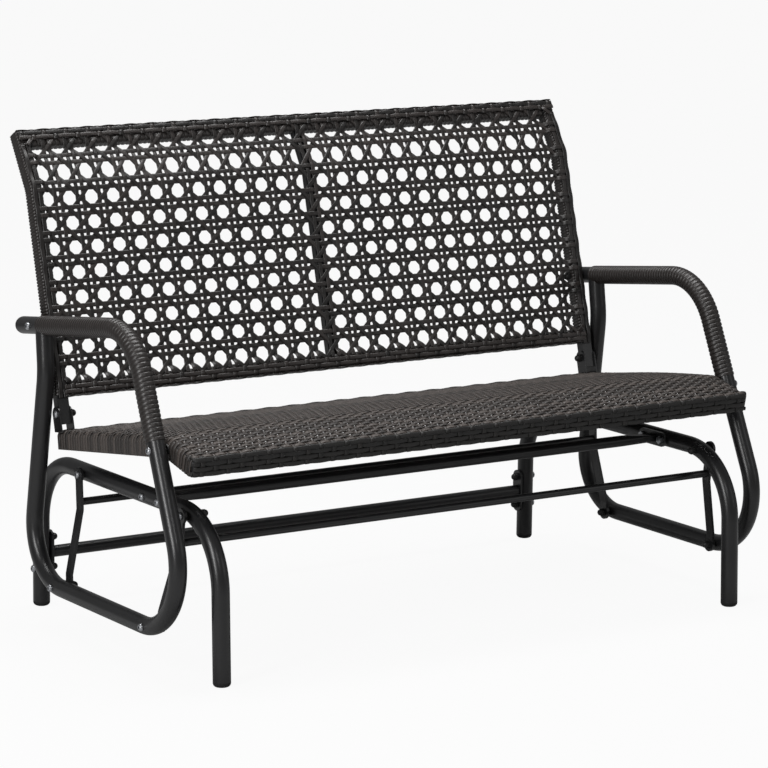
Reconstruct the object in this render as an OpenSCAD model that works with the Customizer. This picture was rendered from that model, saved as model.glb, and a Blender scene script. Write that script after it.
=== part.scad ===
// Two-seat glider bench in powder-coated steel tube and woven synthetic rattan.
// A still base of two bent hoops carries four swinging links, and the links carry
// the seat: two side loops with wrapped armrests, a woven deck and an open cane back.
// X runs along the bench, Y runs from the front to the rear and Z is up.
// The origin is on the floor, midway between the four feet.

/* [Steel tube] */
// Outside diameter of the round frame tube
tube_d = 30; // [28:0.5:32]
// Wall of the round frame tube
tube_wall = 1.5; // [1:0.1:2.5]

/* [Base hoops] */
// Distance between the centre planes of the two base hoops
hoop_span = 1040; // [940:10:1060]
// Distance from the front feet to the rear feet at the floor
foot_span = 633; // [610:1:660]
// Height of the hoop top rail centre line
rail_height = 271; // [262:1:285]
// Centre line radius of the two hoop bends
hoop_bend_r = 120; // [100:1:125]
// Lean of the front legs from the vertical
front_splay = 1.5; // [0:0.5:3]
// Lean of the rear legs from the vertical
rear_splay = 0.5; // [0:0.5:2]
// Height of the tube end above the floor, filled by the foot cap
cap_rise = 8; // [6:0.5:12]
// Diameter of the flat that each foot cap stands on
cap_flat_d = 17; // [10:0.5:20]
// Depth of the foot cap plug inside the leg
cap_plug = 22; // [12:1:40]

/* [Base cross members] */
// Diameter of the tube between the two hoop top rails
cross_tube_d = 20; // [16:0.5:24]
// Place of that tube along the rails, negative is forward
cross_tube_y = -106; // [-120:1:-60]
// Distance between the two bolts at each end of that tube
cross_bolt_pitch = 53; // [44:1:60]
// Length of the flattened stretch at each end of that tube
flattened_len = 70; // [40:1:100]
// Diameter of the stretcher between the rear legs
stretcher_d = 21; // [16:0.5:24]
// Height of the stretcher
stretcher_z = 94.5; // [80:0.5:110]
// Distance between the two bolts in each stretcher end plate
stretcher_bolt_pitch = 54; // [44:1:60]
// Thickness of the end plates
plate_t = 4; // [3:0.5:5]
// Width of the end plates
plate_w = 26; // [22:1:28]

/* [Side loops] */
// Distance between the centre lines of the two bottom rails
loop_span = 1176; // [1170:1:1200]
// Distance between the centre lines of the two armrests
arm_span = 1158; // [1154:1:1168]
// Height of the bottom rail centre line
loop_rail_z = 82; // [74:1:90]
// Rear end of the armrest centre line, from front to rear
arm_rear_y = 255; // [245:1:270]
// Height of the armrest centre line at its rear end
arm_rear_z = 515; // [505:1:530]
// Upward slope of the armrest towards the front
arm_slope = 7.25; // [5:0.25:9]
// Length of the armrest centre line from its rear end to its front corner
arm_len = 392.6; // [380:0.1:400]
// Lean of the front upright from the vertical
upright_lean = 24; // [22:0.5:26]
// Centre line radius of the bend from the armrest to the upright
arm_bend_r = 110; // [95:1:120]
// Centre line radius of the lower front bend
front_bend_r = 110; // [95:1:115]
// Centre line radius of the lower rear bend
rear_bend_r = 100; // [85:1:110]
// Rearmost reach of the loop centre line
loop_rear_y = 210; // [204:1:216]
// Forward lean of the rear upright above its lower bend
rear_lean = 8.5; // [7.5:0.5:9]
// Height of the kink in the rear upright
kink_z = 445; // [430:1:455]
// Angle that the kink turns the rear upright back by
kink_turn = 15; // [10:0.5:20]
// Centre line radius of the kink
kink_r = 150; // [100:1:200]

/* [Armrest wrap] */
// Bare length at the rear end of the armrest
wrap_bare = 62; // [50:0.5:70]
// Thickness of the wound strip
wrap_t = 1.2; // [0.8:0.1:1.5]
// Height of each crest of the wound strip
wrap_crest = 0.5; // [0.3:0.1:0.8]
// Distance from one turn of the strip to the next
wrap_pitch = 6.6; // [6:0.1:9]
// Height above the seat bolt where the wrap ends on the upright
wrap_end_rise = 14; // [12:1:40]
// Gap that the wrap leaves round the rear upright
wrap_notch = 3; // [2.5:0.5:6]

/* [Swing links] */
// Rear top pivot, from front to rear
rear_top_y = 130.5; // [125:0.5:136]
// Rear lower pivot, from front to rear
rear_low_y = 121; // [114:0.5:128]
// Front top pivot, from front to rear
front_top_y = -224; // [-229:0.5:-219]
// Front lower pivot, from front to rear
front_low_y = -198; // [-204:0.5:-192]
// Width of the flat link bar
link_w = 18; // [16:0.5:20]
// Thickness of the flat link bar
link_t = 5; // [4:0.5:6]
// Diameter of the round eye at each end of a link bar
link_eye_d = 26; // [24:0.5:30]
// Distance of the link cross bar below the top pivot
link_bar_drop = 47; // [44:1:52]
// Diameter of the link cross bar
link_bar_d = 13; // [12:0.5:16]
// Length from the top pivot to where the link bar leans outward
link_joggle = 60; // [58:1:66]
// Thickness of the spacer between a base hoop and its link
top_spacer_t = 3.5; // [2:0.5:5]
// Thickness of the spacer between a link and the bottom rail
low_spacer_t = 4; // [3:0.5:8]
// Outside diameter of the spacers
spacer_d = 17; // [15:0.5:20]

/* [Seat] */
// Rear top edge of the woven seat, from front to rear
seat_rear_y = 168; // [164:1:174]
// Height of the rear top edge of the woven seat
seat_rear_z = 343; // [340:1:348]
// Upward slope of the seat towards the front
seat_slope = 7.75; // [7:0.25:8.5]
// Length of the sloping deck back from the bend
seat_deck_len = 386.3; // [376:0.1:392]
// Downward slope of the front of the seat
lip_slope = 12.7; // [10:0.5:15]
// Length of the front of the seat beyond the bend
lip_len = 89.7; // [80:0.1:100]
// Radius of the bend between the deck and its front
seat_bend_r = 60; // [50:1:80]
// Size of the square seat frame tube
seat_rail = 25; // [22:0.5:28]
// Wall of the square seat and back tubes
square_wall = 1.2; // [1:0.1:1.6]
// Thickness of the weave round the seat frame
weave_t = 3; // [2.5:0.1:4]
// Width of the two flat bars under the deck
slat_w = 30; // [20:1:40]
// Depth of the two flat bars under the deck
slat_t = 8; // [5:0.5:12]
// Distance of each of those bars from the middle of the bench
slat_x = 190; // [150:5:260]
// Gap between the side of the seat and the front upright
side_gap = 3.3; // [3:0.1:5]

/* [Back] */
// Front face of the back post at its foot, from front to rear
back_foot_y = 156; // [152:1:160]
// Height of the foot of the back post
back_foot_z = 356; // [354:1:362]
// Backward lean of the back post
back_lean = 14.7; // [13.5:0.1:16]
// Length of the back post from its foot to its bend
back_low_len = 406.2; // [400:0.1:412]
// Backward lean of the back above the bend
back_top_lean = 32; // [28:0.5:34]
// Length of the back post from its bend to its top
back_top_len = 105.3; // [102:0.1:112]
// Radius of the bend in the back, at the front of the posts
back_bend_r = 60; // [50:1:62]
// Width of the back posts
post_w = 20; // [18:0.5:22]
// Depth of the back posts and rails
post_t = 18; // [16:0.5:20]
// Thickness of the strip wound on the posts and rails
post_wrap_t = 2.6; // [2:0.1:3]
// Height of the lower edge of the bottom rail above the foot, along the post
low_rail_s = 52; // [48:0.5:52]
// Height of the bottom rail along the post
low_rail_h = 18; // [16:0.5:18]
// Height of the top rail along the post
top_rail_h = 25; // [22:0.5:25]
// Depth of the middle post behind the cane
middle_post_t = 13; // [8:0.5:13]

/* [Cane panel] */
// Distance from one cane opening to the next, both ways
cane_pitch = 42.6; // [42:0.1:46]
// Width of the eight-sided cane opening across its flats
cane_hole = 22; // [18:0.5:23]
// Thickness of the cane panel
cane_t = 3.5; // [2.5:0.1:3.5]
// Strip left at the two ends of the panel
cane_edge = 2.5; // [2:0.5:5]

/* [Fasteners] */
// Diameter of the bolts
bolt_d = 8; // [6:0.5:8]
// Diameter of the bolt heads
head_d = 13; // [12.5:0.5:14]
// Height of the bolt heads
head_h = 4.5; // [4:0.5:5.5]
// Size across the flats of the socket in each bolt head
socket_af = 5; // [4:0.5:5]
// Size across the corners of the cap nuts
nut_d = 14; // [13:0.5:15]
// Length of the six-sided part of the cap nuts
nut_h = 6; // [5:0.5:8]
// Wall of the nylon bush in each link eye
bush_wall = 2; // [1.5:0.25:2.5]
// Wall of the bracket that holds the foot of the back post
bracket_t = 2.5; // [2:0.25:3]
// Depth of that bracket from front to rear
bracket_w = 26; // [24:0.5:30]
// Height of the bracket bolt above the foot of the back post
bracket_bolt_s = 18; // [16:0.5:20]

/* [Clearances] */
// Clearance round a bolt in a fixed hole
bolt_clear = 0.15; // [0.05:0.05:0.3]
// Running clearance of a pivot bolt in its bush
run_clear = 0.08; // [0.03:0.01:0.1]
// Clearance at the front lower pivot, where the linkage closes
open_clear = 1.4; // [1.2:0.05:1.6]
// Gap between a link and the parts beside it
side_clear = 0.3; // [0.3:0.05:0.5]
// Gap between a nut or bolt head and the crest of a round tube
crest_gap = 0.2; // [0.1:0.05:0.3]
// Clearance of a plug, bush or wrap round what carries it
fit_clear = 0.1; // [0.05:0.05:0.2]
// Clearance of the back post in its bracket
post_clear = 0.3; // [0.2:0.05:0.5]

/* [Hidden] */
$fn = 48;
steel = [0.17, 0.17, 0.18];
dark_steel = [0.11, 0.11, 0.12];
zinc = [0.72, 0.73, 0.74];
nylon = [0.03, 0.03, 0.03];
rattan = [0.16, 0.13, 0.11];
cane = [0.10, 0.09, 0.08];
// Extra length of every cutting tool past the face it cuts
over = 1;
// A bend is this much slimmer than the straights beside it, as a bent tube is
bend_slim = 0.05;
// Length that each bend runs on inside the straights beside it
bend_lap = 0.3;
// Distance from the armrest's centre line to the end of the rear upright inside it
weld_in = 4;

// Vector and path arithmetic in the plane of front-to-rear and height
function unit(v) = v / norm(v);
function left_of(v) = [-v.y, v.x];
function turn(p, i) = let (u = p[i] - p[i - 1], v = p[i + 1] - p[i])
    atan2(u.x * v.y - u.y * v.x, u.x * v.x + u.y * v.y);
function is_end(p, i) = i == 0 || i == len(p) - 1;
function set_back(p, r, i) = is_end(p, i) ? 0 : r[i] * tan(abs(turn(p, i)) / 2);
function run_start(p, r, i) = p[i] + unit(p[i + 1] - p[i]) * set_back(p, r, i);
function run_end(p, r, i) = p[i + 1] - unit(p[i + 1] - p[i]) * set_back(p, r, i + 1);
function bend_centre(p, r, i) = let (u = unit(p[i] - p[i - 1]))
    p[i] - u * set_back(p, r, i) + sign(turn(p, i)) * r[i] * left_of(u);
// The same path shortened, or lengthened by a negative amount, at its two ends
function trimmed(p, a, b) = [for (i = [0:len(p) - 1])
    i == 0 ? p[0] + unit(p[1] - p[0]) * a
    : i == len(p) - 1 ? p[i] - unit(p[i] - p[i - 1]) * b : p[i]];
// Where the line through a along u crosses the line through b along v
function crossing(a, u, b, v) = a + u * ((b - a).x * v.y - (b - a).y * v.x) / (u.x * v.y - u.y * v.x);

// Base hoop: up the front leg, along the rail and down the rear leg
front_foot = [-foot_span / 2, 0];
rear_foot = [foot_span / 2, 0];
hoop_path = trimmed([front_foot, [front_foot.x + rail_height * tan(front_splay), rail_height],
    [rear_foot.x - rail_height * tan(rear_splay), rail_height], rear_foot], cap_rise, cap_rise);
hoop_r = [0, hoop_bend_r, hoop_bend_r, 0];
tube_r = tube_d / 2;
bore_r = tube_r - tube_wall;
hoop_x = hoop_span / 2;
loop_x = loop_span / 2;
stretcher_y = rear_foot.x - stretcher_z * tan(rear_splay);

// Side loop, in its own plane: armrest, front upright, bottom rail, rear upright
arm_dir = [-cos(arm_slope), sin(arm_slope)];
upright_dir = [-sin(upright_lean), -cos(upright_lean)];
arm_end = [arm_rear_y, arm_rear_z];
arm_corner = arm_end + arm_dir * arm_len;
front_corner = crossing(arm_corner, upright_dir, [0, loop_rail_z], [1, 0]);
rear_corner = [loop_rear_y - rear_bend_r + rear_bend_r * tan((90 + rear_lean) / 2), loop_rail_z];
kink = [rear_corner.x - (kink_z - loop_rail_z) * tan(rear_lean), kink_z];
kink_dir = [sin(kink_turn - rear_lean), cos(kink_turn - rear_lean)];
arm_joint = crossing(kink, kink_dir, arm_end, arm_dir);
loop_path = [arm_end, arm_corner, front_corner, rear_corner, kink, arm_joint];
loop_r = [0, arm_bend_r, front_bend_r, rear_bend_r, kink_r, 0];
// The loops lean in towards their armrests, about their bottom rails
loop_tilt = atan((loop_x - arm_span / 2) / (arm_corner.y - loop_rail_z));
function loop_x_at(z) = loop_x - (z - loop_rail_z) * tan(loop_tilt);

// Pivots: on the centre lines of the hoop rail and of the loop's bottom rail
hoop_bend_c = bend_centre(hoop_path, hoop_r, 1);
loop_bend_c = bend_centre(loop_path, loop_r, 2);
function hoop_z(y) = y > hoop_bend_c.x ? rail_height
    : hoop_bend_c.y + sqrt(pow(hoop_bend_r, 2) - pow(y - hoop_bend_c.x, 2));
function loop_z(y) = y > loop_bend_c.x ? loop_rail_z
    : loop_bend_c.y - sqrt(pow(front_bend_r, 2) - pow(y - loop_bend_c.x, 2));
rear_top = [rear_top_y, hoop_z(rear_top_y)];
rear_low = [rear_low_y, loop_z(rear_low_y)];
front_top = [front_top_y, hoop_z(front_top_y)];
front_low = [front_low_y, loop_z(front_low_y)];
bush_d = bolt_d + 2 * bush_wall;
open_bush_d = bolt_d + 2 * open_clear + 2 * bush_wall;
// Inner faces of a link at its top and at its foot
link_top_x = hoop_x + tube_r + crest_gap + top_spacer_t + side_clear;
link_low_x = loop_x - tube_r - crest_gap - low_spacer_t - side_clear - link_t;

// Seat: the line of its woven top from rear to front
seat_rear = [seat_rear_y, seat_rear_z];
seat_dir = [-cos(seat_slope), sin(seat_slope)];
lip_dir = [-cos(lip_slope), -sin(lip_slope)];
seat_break = seat_rear + seat_dir * seat_deck_len;
seat_path = [seat_rear, seat_break, seat_break + lip_dir * lip_len];
seat_r = [0, seat_bend_r, 0];
seat_t = seat_rail + 2 * weave_t;
rim = seat_rail + 2 * weave_t;
// The seat bolt is where the upright's centre line crosses the middle of the seat's side,
// which follows the deck behind the bend and the lip before it
deck_mid = crossing(arm_corner, upright_dir, seat_rear + left_of(seat_dir) * seat_t / 2, seat_dir);
lip_mid = crossing(arm_corner, upright_dir, seat_break + left_of(lip_dir) * seat_t / 2, lip_dir);
seat_bolt = deck_mid.y < lip_mid.y ? deck_mid : lip_mid;
seat_half = loop_x_at(seat_bolt.y) - tube_r - side_gap;
frame_half = seat_half - weave_t;
// The arm bolt is where the armrest's centre line crosses the back post, at its middle or
// just behind it, so that the nut clears the cane panel
post_dir = [sin(back_lean), cos(back_lean)];
top_dir = [sin(back_top_lean), cos(back_top_lean)];
back_foot = [back_foot_y, back_foot_z];
back_bend = back_foot + post_dir * back_low_len;
back_path = [back_foot, back_bend, back_bend + top_dir * back_top_len];
back_r = [0, back_bend_r, 0];
post_mid = back_foot - left_of(post_dir) * post_t / 2;
arm_bolt_depth = max(post_t / 2, cane_t + post_clear + nut_d / 2);
arm_bolt = crossing(arm_end, arm_dir, back_foot - left_of(post_dir) * arm_bolt_depth, post_dir);
bracket_bolt = post_mid + post_dir * bracket_bolt_s;
post_x = seat_half - post_wrap_t - post_w / 2;
cane_half = post_x - post_w / 2 - post_wrap_t - fit_clear;
top_rail_s = back_low_len + back_top_len - top_rail_h;

// Stands a drawing of front-to-rear and height upright at a place along the bench
module at_side(x) {
    translate([x, 0, 0]) rotate([90, 0, 90]) children();
}
// Tilts what belongs to a side loop in towards its armrest
module loop_plane() {
    translate([loop_x, 0, loop_rail_z]) rotate([0, -loop_tilt, 0]) translate([0, 0, -loop_rail_z])
        rotate([90, 0, 90]) children();
}
module left_side() {
    mirror([1, 0, 0]) children();
}
module both_sides() {
    children();
    left_side() children();
}
// One bend of a path, turning the section drawn by the children round its centre
module bend(p, r, i) {
    t = turn(p, i);
    u = unit(p[i] - p[i - 1]);
    start = atan2(u.y, u.x) - sign(t) * 90;
    c = bend_centre(p, r, i);
    lap = bend_lap / r[i] * 180 / PI;
    translate([c.x, c.y, 0]) rotate([0, 0, min(start, start + t) - lap])
        rotate_extrude(angle = abs(t) + 2 * lap) translate([r[i], 0]) children();
}
// Round rod of one radius along a path
module rod(p, r, rad) {
    for (i = [0:len(p) - 2]) {
        a = run_start(p, r, i);
        b = run_end(p, r, i);
        translate([a.x, a.y, 0]) rotate([0, 90, atan2(b.y - a.y, b.x - a.x)])
            cylinder(h = norm(b - a), r = rad);
    }
    for (i = [1:1:len(p) - 2]) bend(p, r, i) circle(r = rad - bend_slim);
}
// Flat bar along a path, from one offset to another on its left, across a width
module bar(p, r, low, high, width) {
    for (i = [0:len(p) - 2]) {
        a = run_start(p, r, i);
        b = run_end(p, r, i);
        translate([a.x, a.y, 0]) rotate([0, 0, atan2(b.y - a.y, b.x - a.x)])
            translate([0, low, -width / 2]) cube([norm(b - a), high - low, width]);
    }
    for (i = [1:1:len(p) - 2]) bend(p, r, i)
        translate([(turn(p, i) > 0 ? -high : low) + bend_slim, bend_slim - width / 2])
            square([high - low - 2 * bend_slim, width - 2 * bend_slim]);
}
// Cylinder along the bench, centred on a point of the side view
module pin(at, x0, x1, d) {
    translate([x0, at.x, at.y]) rotate([0, 90, 0]) cylinder(h = x1 - x0, d = d);
}
// Socket-head bolt: its head starts at x1 and points outward, its shank runs back to x0
module bolt(at, x0, x1) {
    difference() {
        union() {
            pin(at, x0, x1 + over / 2, bolt_d);
            translate([x1, at.x, at.y]) rotate([0, 90, 0]) rotate_extrude()
                polygon([[0, 0], [head_d / 2, 0], [head_d / 2, head_h * 0.3], [head_d * 0.44, head_h * 0.68],
                    [head_d * 0.33, head_h * 0.94], [head_d * 0.28, head_h], [0, head_h]]);
        }
        translate([x1 + head_h * 0.35, at.x, at.y]) rotate([0, 90, 0])
            cylinder(h = head_h, d = socket_af / cos(30), $fn = 6);
    }
}
// Domed cap nut, seated at x1 and pointing inward, with a blind bore for the shank
module cap_nut(at, x1) {
    difference() {
        translate([x1, at.x, at.y]) rotate([0, -90, 0]) {
            cylinder(h = nut_h, d = nut_d, $fn = 6);
            translate([0, 0, nut_h]) sphere(d = nut_d * 0.88);
        }
        pin(at, x1 - nut_h - over, x1 + over, bolt_d + 2 * bolt_clear);
    }
}
module hex_nut(at, x0, x1) {
    difference() {
        translate([x0, at.x, at.y]) rotate([0, 90, 0]) cylinder(h = x1 - x0, d = nut_d, $fn = 6);
        pin(at, x0 - over, x1 + over, bolt_d + 2 * bolt_clear);
    }
}
module ring(at, x0, x1, outer, inner) {
    difference() {
        pin(at, x0, x1, outer);
        pin(at, x0 - over, x1 + over, inner);
    }
}
// Through hole for a fixed bolt
module bolt_hole(at, x0, x1) {
    pin(at, x0, x1, bolt_d + 2 * bolt_clear);
}

// Bolt places of the base cross members, in the side view
cross_bolts = [for (s = [-1, 1]) [cross_tube_y + s * cross_bolt_pitch / 2, rail_height]];
stretcher_bolt_places = [for (s = [-1, 1]) [stretcher_y, stretcher_z + s * stretcher_bolt_pitch / 2]];
top_pivots = [rear_top, front_top];
low_pivots = [rear_low, front_low];
hoop_in_x = hoop_x - tube_r - crest_gap;
hoop_out_x = hoop_x + tube_r + crest_gap;

module base_hoop() {
    difference() {
        at_side(hoop_x) rod(hoop_path, hoop_r, tube_r);
        at_side(hoop_x) rod(trimmed(hoop_path, -over, -over), hoop_r, bore_r);
        for (at = concat(top_pivots, cross_bolts, stretcher_bolt_places))
            bolt_hole(at, hoop_x - tube_d, hoop_x + tube_d);
    }
}
module right_base_hoop() { color(steel) base_hoop(); }
module left_base_hoop() { color(steel) left_side() base_hoop(); }

// Moulded cap: a rounded foot with a flat under it and a plug up the leg
module foot_cap(foot, lean) {
    round_r = cap_rise - over;
    difference() {
        translate([hoop_x, foot.x, 0]) rotate([lean, 0, 0]) rotate_extrude()
            polygon(concat([[0, -over / 3], [cap_flat_d / 2, -over / 3]],
                [for (a = [-90:15:0]) [cap_flat_d / 2 + (tube_r - cap_flat_d / 2) * cos(a),
                    round_r + round_r * sin(a)]],
                [[tube_r, cap_rise], [bore_r - fit_clear, cap_rise],
                    [bore_r - fit_clear, cap_rise + cap_plug], [0, cap_rise + cap_plug]]));
        translate([0, foot.x - tube_d, -tube_d]) cube([2 * hoop_x, 2 * tube_d, tube_d]);
    }
}
module front_right_foot_cap() { color(nylon) foot_cap(front_foot, -front_splay); }
module front_left_foot_cap() { color(nylon) left_side() foot_cap(front_foot, -front_splay); }
module rear_right_foot_cap() { color(nylon) foot_cap(rear_foot, rear_splay); }
module rear_left_foot_cap() { color(nylon) left_side() foot_cap(rear_foot, rear_splay); }

// End plate with round ends, lying against the inner side of a hoop
module end_plate(at, pitch, upright) {
    translate([hoop_in_x - plate_t, at.x, at.y]) rotate([90, 0, 90]) rotate([0, 0, upright ? 90 : 0])
        linear_extrude(plate_t) {
            square([pitch, plate_w], center = true);
            for (s = [-1, 1]) translate([s * pitch / 2, 0]) circle(d = plate_w);
        }
}
cross_at = [cross_tube_y, rail_height];
stretcher_at = [stretcher_y, stretcher_z];
cross_end_x = hoop_in_x - plate_t;
module base_cross_tube() {
    color(dark_steel) difference() {
        union() {
            pin(cross_at, -cross_end_x + flattened_len, cross_end_x - flattened_len, cross_tube_d);
            both_sides() {
                end_plate(cross_at, cross_bolt_pitch, false);
                hull() {
                    pin(cross_at, cross_end_x - flattened_len - over, cross_end_x - flattened_len, cross_tube_d);
                    translate([cross_end_x - over, cross_at.x - cross_tube_d * 0.7, cross_at.y - cross_tube_d / 4])
                        cube([over, cross_tube_d * 1.4, cross_tube_d / 2]);
                }
            }
        }
        pin(cross_at, -cross_end_x + flattened_len, cross_end_x - flattened_len, cross_tube_d - 2 * square_wall);
        both_sides() for (at = cross_bolts) bolt_hole(at, cross_end_x - over, hoop_in_x + over);
    }
}
module rear_stretcher() {
    color(dark_steel) difference() {
        union() {
            pin(stretcher_at, -cross_end_x, cross_end_x, stretcher_d);
            both_sides() end_plate(stretcher_at, stretcher_bolt_pitch, true);
        }
        pin(stretcher_at, -cross_end_x, cross_end_x, stretcher_d - 2 * square_wall);
        both_sides() for (at = stretcher_bolt_places) bolt_hole(at, cross_end_x - over, hoop_in_x + over);
    }
}
module cross_tube_bolts() {
    color(zinc) both_sides() for (at = cross_bolts) bolt(at, cross_end_x - nut_h, hoop_out_x);
}
module cross_tube_nuts() {
    color(zinc) both_sides() for (at = cross_bolts) hex_nut(at, cross_end_x - nut_h, cross_end_x);
}
module stretcher_bolts() {
    color(zinc) both_sides() for (at = stretcher_bolt_places) bolt(at, cross_end_x - nut_h, hoop_out_x);
}
module stretcher_nuts() {
    color(nylon) both_sides() for (at = stretcher_bolt_places) cap_nut(at, cross_end_x);
}
module top_pivot_bolts() {
    color(zinc) both_sides() for (at = top_pivots)
        bolt(at, hoop_in_x - nut_h, link_top_x + link_t + side_clear);
}
module top_pivot_nuts() {
    color(nylon) both_sides() for (at = top_pivots) cap_nut(at, hoop_in_x);
}
module top_pivot_spacers() {
    color(nylon) both_sides() for (at = top_pivots)
        ring(at, hoop_out_x, hoop_out_x + top_spacer_t, spacer_d, bolt_d + 2 * bolt_clear);
}

// Link bar from its top pivot to its low pivot, leaning outward below the cross bar
module link(top, low, low_bush_d) {
    len = norm(low - top);
    path = [[0, link_top_x + link_t / 2], [link_joggle, link_top_x + link_t / 2],
        [len - link_eye_d * 0.75, link_low_x + link_t / 2], [len, link_low_x + link_t / 2]];
    difference() {
        union() {
            translate([0, top.x, top.y]) rotate([atan2(low.x - top.x, top.y - low.y), 0, 0])
                rotate([90, 90, 0]) bar(path, [0, 2 * link_t, 2 * link_t, 0], -link_t / 2, link_t / 2, link_w);
            pin(top, link_top_x, link_top_x + link_t, link_eye_d);
            pin(low, link_low_x, link_low_x + link_t, link_eye_d);
        }
        pin(top, link_top_x - over, link_top_x + link_t + over, bush_d + 2 * fit_clear);
        pin(low, link_low_x - over, link_low_x + link_t + over, low_bush_d + 2 * fit_clear);
    }
}
// Round bar that joins the left and right links
module link_bar(top, low) {
    at = top + unit(low - top) * link_bar_drop;
    difference() {
        pin(at, -link_top_x, link_top_x, link_bar_d);
        pin(at, -link_top_x - over, link_top_x + over, link_bar_d - 2 * square_wall);
    }
}
module link_bushes(top, low, low_outer, low_bore) {
    both_sides() {
        ring(top, link_top_x, link_top_x + link_t, bush_d, bolt_d + 2 * run_clear);
        ring(low, link_low_x, link_low_x + link_t, low_outer, low_bore);
    }
}
module rear_right_link() { color(steel) link(rear_top, rear_low, bush_d); }
module rear_left_link() { color(steel) left_side() link(rear_top, rear_low, bush_d); }
module rear_link_bar() { color(dark_steel) link_bar(rear_top, rear_low); }
module rear_link_bushes() {
    color(nylon) link_bushes(rear_top, rear_low, bush_d, bolt_d + 2 * run_clear);
}
module front_right_link() { color(steel) link(front_top, front_low, open_bush_d); }
module front_left_link() { color(steel) left_side() link(front_top, front_low, open_bush_d); }
module front_link_bar() { color(dark_steel) link_bar(front_top, front_low); }
module front_link_bushes() {
    color(nylon) link_bushes(front_top, front_low, open_bush_d, bolt_d + 2 * open_clear);
}

// Side loop: one bent tube, closed by a rounded end behind and welded under its own armrest
module side_loop() {
    difference() {
        loop_plane() {
            rod(trimmed(loop_path, 0, weld_in), loop_r, tube_r);
            translate([arm_end.x, arm_end.y, 0]) sphere(r = tube_r - bend_slim);
        }
        loop_plane() rod(trimmed(loop_path, 0, tube_r + over), loop_r, bore_r);
        for (at = concat(low_pivots, [seat_bolt, arm_bolt]))
            bolt_hole(at, loop_x_at(at.y) - tube_d, loop_x_at(at.y) + tube_d);
    }
}
module right_side_loop() { color(steel) side_loop(); }
module left_side_loop() { color(steel) left_side() side_loop(); }

// Strip wound round the armrest and down the upright: a sleeve with one crest a turn
wrap_inner_r = tube_r + fit_clear;
wrap_outer_r = tube_r + wrap_t;
wrap_end = seat_bolt - upright_dir * wrap_end_rise;
wrap_path = [arm_end + arm_dir * wrap_bare, arm_corner, wrap_end];
wrap_r = [0, arm_bend_r, 0];
module wound_run(a, b) {
    turns = round(norm(b - a) / wrap_pitch);
    step = norm(b - a) / turns;
    translate([a.x, a.y, 0]) rotate([0, 90, atan2(b.y - a.y, b.x - a.x)])
        for (i = [0:turns - 1]) translate([0, 0, (i + 0.2) * step])
            cylinder(h = step * 0.6, r = wrap_outer_r + wrap_crest);
}
module wound_bend(p, r, i) {
    t = turn(p, i);
    u = unit(p[i] - p[i - 1]);
    c = bend_centre(p, r, i);
    turns = round(r[i] * abs(t) * PI / 180 / wrap_pitch);
    for (k = [0:turns - 1]) translate([c.x, c.y, 0])
        rotate([0, 0, atan2(u.y, u.x) - sign(t) * 90 + min(0, t) + (k + 0.2) * abs(t) / turns])
            rotate_extrude(angle = 0.6 * abs(t) / turns) translate([r[i], 0])
                circle(r = wrap_outer_r + wrap_crest);
}
module arm_wrap() {
    difference() {
        loop_plane() {
            rod(wrap_path, wrap_r, wrap_outer_r);
            for (i = [0:1]) wound_run(run_start(wrap_path, wrap_r, i), run_end(wrap_path, wrap_r, i));
            wound_bend(wrap_path, wrap_r, 1);
        }
        loop_plane() rod(trimmed(wrap_path, -over, -over), wrap_r, wrap_inner_r);
        loop_plane() rod([kink, arm_joint], [0, 0], tube_r + wrap_notch);
    }
}
module right_arm_wrap() { color(rattan) arm_wrap(); }
module left_arm_wrap() { color(rattan) left_side() arm_wrap(); }

loop_out_x = loop_x + tube_r + crest_gap;
module low_pivot_bolts() {
    color(zinc) both_sides() for (at = low_pivots) bolt(at, link_low_x - side_clear - nut_h, loop_out_x);
}
module low_pivot_nuts() {
    color(nylon) both_sides() for (at = low_pivots) cap_nut(at, link_low_x - side_clear);
}
module low_pivot_spacers() {
    color(nylon) both_sides() for (at = low_pivots)
        ring(at, loop_x - tube_r - crest_gap - low_spacer_t, loop_x - tube_r - crest_gap,
            spacer_d, bolt_d + 2 * bolt_clear);
}

// Two flat bars under the deck, ending a little clear of the rails, or cut with a margin round them
slat_end = weave_t + seat_rail + fit_clear;
module slat_pair(end, grow) {
    for (s = [-1, 1]) at_side(s * slat_x)
        bar(trimmed(seat_path, end, end), seat_r, weave_t - grow, weave_t + slat_t + grow, slat_w + 2 * grow);
}
module seat_slats() {
    color(dark_steel) slat_pair(slat_end, 0);
}
// Seat frame: a bent ring of square tube
module seat_ring(grow) {
    difference() {
        at_side(0) bar(trimmed(seat_path, weave_t - grow, weave_t - grow), seat_r,
            weave_t - grow, seat_t - weave_t + grow, 2 * (frame_half + grow));
        at_side(0) bar(trimmed(seat_path, weave_t + seat_rail + grow, weave_t + seat_rail + grow), seat_r,
            -over, seat_t + over, 2 * (frame_half - seat_rail - grow));
    }
}
module seat_frame() {
    color(dark_steel) difference() {
        seat_ring(0);
        seat_ring(-square_wall);
        both_sides() bolt_hole(seat_bolt, frame_half - seat_rail - over, frame_half + over);
    }
}
module seat_weave() {
    color(rattan) difference() {
        at_side(0) bar(seat_path, seat_r, 0, seat_t, 2 * seat_half);
        seat_ring(fit_clear);
        slat_pair(slat_end - over, fit_clear);
        at_side(0) bar(trimmed(seat_path, rim, rim), [0, seat_bend_r - weave_t, 0],
            weave_t, seat_t + over, 2 * (seat_half - rim));
        both_sides() {
            bolt_hole(seat_bolt, seat_half - rim - over, seat_half + over);
            bracket_space();
        }
    }
}
seat_nut_x = seat_half - rim - crest_gap;
module seat_spacers() {
    color(nylon) both_sides() ring(seat_bolt, seat_half + crest_gap, seat_half + side_gap - crest_gap,
        spacer_d, bolt_d + 2 * bolt_clear);
}
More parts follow.
